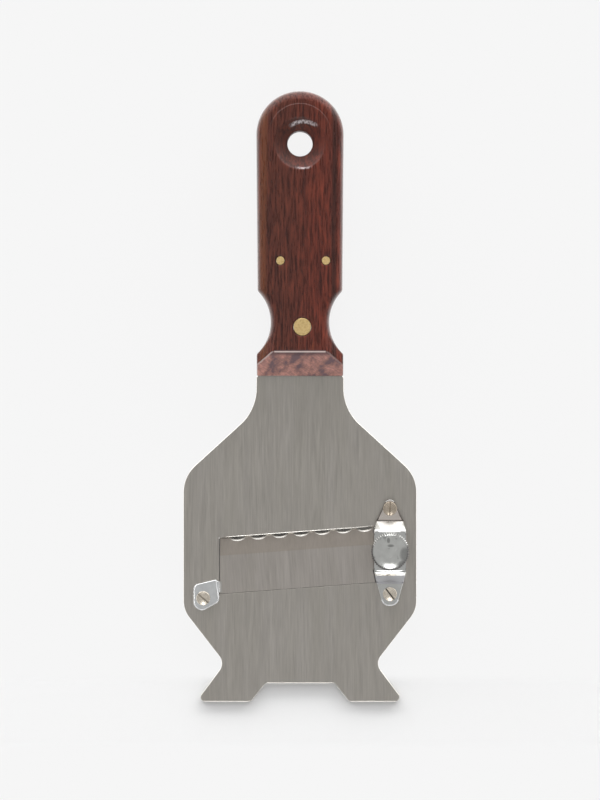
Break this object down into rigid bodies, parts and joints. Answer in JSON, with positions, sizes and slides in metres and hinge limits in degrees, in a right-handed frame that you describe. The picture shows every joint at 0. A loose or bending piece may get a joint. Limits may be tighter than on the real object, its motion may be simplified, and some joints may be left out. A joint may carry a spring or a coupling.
{
  "type": "truffle slicer",
  "caption": "Flat steel truffle slicer with splayed feet, a wooden handle, and a scalloped blade in a slot, whose free end a thumb screw on a bridge lifts to set the slice.",
  "frame": {"origin": "middle of the slicer's length and width, on the plane of the handle's back", "axes": "+Y along the slicer towards the end of the handle, +X to the right with the food side in view, +Z out of the food side, where the thumb screw is"},
  "size_m": [0.082, 0.2144, 0.0185],
  "materials": {
    "satin_steel": "satin, brushed along the slicer",
    "blade_steel": "fine ground",
    "polished_steel": "mirror polished steel",
    "nickel": "warm bright nickel on steel",
    "brass": "ground flush",
    "rosewood": "oiled dark rosewood with near-black streaks"
  },
  "bodies": {
    "plate_and_handle": {"slicer_plate": "satin_steel", "handle": "rosewood", "rivet_large": "brass", "pin_left": "brass", "pin_right": "brass", "blade_screw": "nickel", "blade_nut": "nickel", "bridge": "polished_steel", "bridge_screw_upper": "nickel", "bridge_screw_lower": "nickel", "bridge_nut_upper": "nickel", "bridge_nut_lower": "nickel"},
    "blade_arm": {"blade": "blade_steel"},
    "screw_lift": {"thrust_washer": "nickel"},
    "screw_turn": {"thumb_screw": "polished_steel", "snap_ring": "nickel"}
  },
  "joints": [
    {"name": "thumb_screw_climb", "type": "slide", "parent": "plate_and_handle", "child": "screw_lift", "axis": [0, 0, 1], "range_m": [0, 0.0028]},
    {"name": "thumb_screw_turn", "type": "hinge", "parent": "screw_lift", "child": "screw_turn", "pos_m": [0.0316, -0.05435, 0.017], "axis": [0, 0, 1], "range_deg": [0, 1440]},
    {"name": "blade_rock", "type": "hinge", "parent": "plate_and_handle", "child": "blade_arm", "pos_m": [-0.034, -0.07085, 0.00925], "axis": [0, -1, 0], "range_deg": [0, 2.45]}
  ],
  "couplings": [
    {"joint": "thumb_screw_climb", "follows": "thumb_screw_turn", "m_per_rad": 0.00011141},
    {"joint": "blade_rock", "follows": "thumb_screw_turn", "ratio": 0.0016983}
  ]
}
